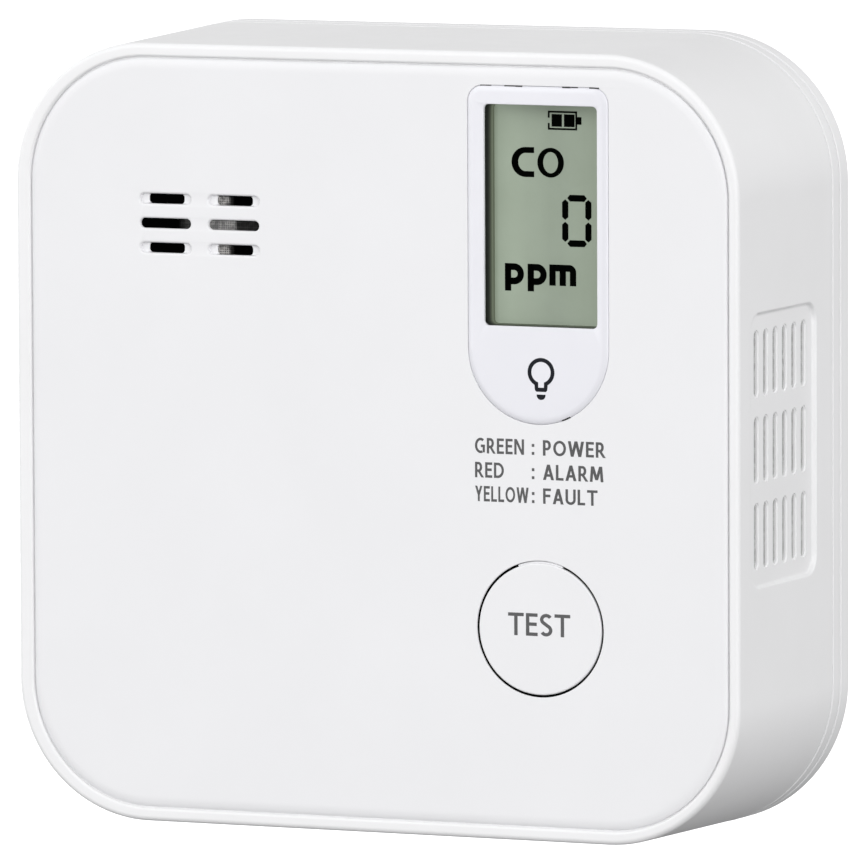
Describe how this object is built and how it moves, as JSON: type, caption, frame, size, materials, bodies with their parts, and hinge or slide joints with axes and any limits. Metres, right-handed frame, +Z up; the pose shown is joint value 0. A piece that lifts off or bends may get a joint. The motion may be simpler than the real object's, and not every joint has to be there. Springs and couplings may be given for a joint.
{
  "type": "carbon monoxide detector",
  "caption": "Square white wall-mounted carbon monoxide detector with round corners, a tall display, a round test button, sound slots and vented sides.",
  "frame": {"origin": "centre of the flat rear face of the wall plate, the face that lies against the wall", "axes": "+Y points into the wall and the front faces -Y; +X is to the right seen from the front; +Z is up"},
  "size_m": [0.1, 0.0347, 0.1],
  "materials": {
    "white_shell": "fine satin moulded ABS",
    "display_frame": "milky semi-gloss light guide",
    "inner_white": "plain moulded",
    "led": "clear epoxy over white",
    "black_plastic": "moulded black",
    "mesh": "fine woven mesh",
    "lcd_face": "grey-green polariser film",
    "lcd_glass": "clear",
    "lcd_reflector": "matt reflective film",
    "rubber_strip": "plain",
    "circuit_board": "solder mask",
    "chip": "moulded epoxy",
    "steel": "zinc plated",
    "brass": "rolled",
    "cell_jacket": "printed foil jacket"
  },
  "bodies": {
    "detector": {"alarm_led": "led", "battery_1": "cell_jacket", "battery_2": "cell_jacket", "battery_bridge_contact": "steel", "battery_negative_contact": "steel", "battery_positive_contact": "steel", "board_screw_1": "steel", "board_screw_2": "steel", "board_screw_3": "steel", "board_screw_4": "steel", "boost_inductor": "chip", "bulk_capacitor": "black_plastic", "case_screw_1": "steel", "case_screw_2": "steel", "case_screw_3": "steel", "case_screw_4": "steel", "co_sensor_body": "inner_white", "co_sensor_cap": "black_plastic", "crystal": "steel", "display_frame": "display_frame", "dust_mesh_left": "mesh", "dust_mesh_right": "mesh", "elastomer_strip": "rubber_strip", "fault_led": "led", "front_housing": "white_shell", "front_panel": "white_shell", "lcd_glass": "lcd_glass", "lcd_holder": "black_plastic", "lcd_polarizer": "lcd_face", "lcd_reflector": "lcd_reflector", "light_tunnel": "inner_white", "main_board": "circuit_board", "microcontroller": "chip", "piezo_disc": "brass", "power_led": "led", "rear_cover": "white_shell", "sensor_amplifier": "chip", "sounder_housing": "black_plastic", "sounder_mesh": "mesh", "switch_body": "black_plastic"},
    "test_button": {"test_button": "white_shell"},
    "switch_plunger": {"switch_plunger": "black_plastic"},
    "wall_plate": {"wall_plate": "white_shell"}
  },
  "joints": [
    {"name": "test_button_press", "type": "hinge", "parent": "detector", "child": "test_button", "pos_m": [0.0224, -0.0333, -0.01195], "axis": [1, 0, 0], "range_deg": [0, 2.5], "stiffness_Nm_per_rad": 0.3},
    {"name": "switch_plunger_travel", "type": "slide", "parent": "detector", "child": "switch_plunger", "axis": [0, 1, 0], "range_m": [0, 0.0005]},
    {"name": "wall_plate_unhook", "type": "slide", "parent": "detector", "child": "wall_plate", "axis": [0, 0, -1], "range_m": [0, 0.008]}
  ],
  "couplings": [
    {"joint": "switch_plunger_travel", "follows": "test_button_press", "m_per_rad": 0.0105}
  ]
}
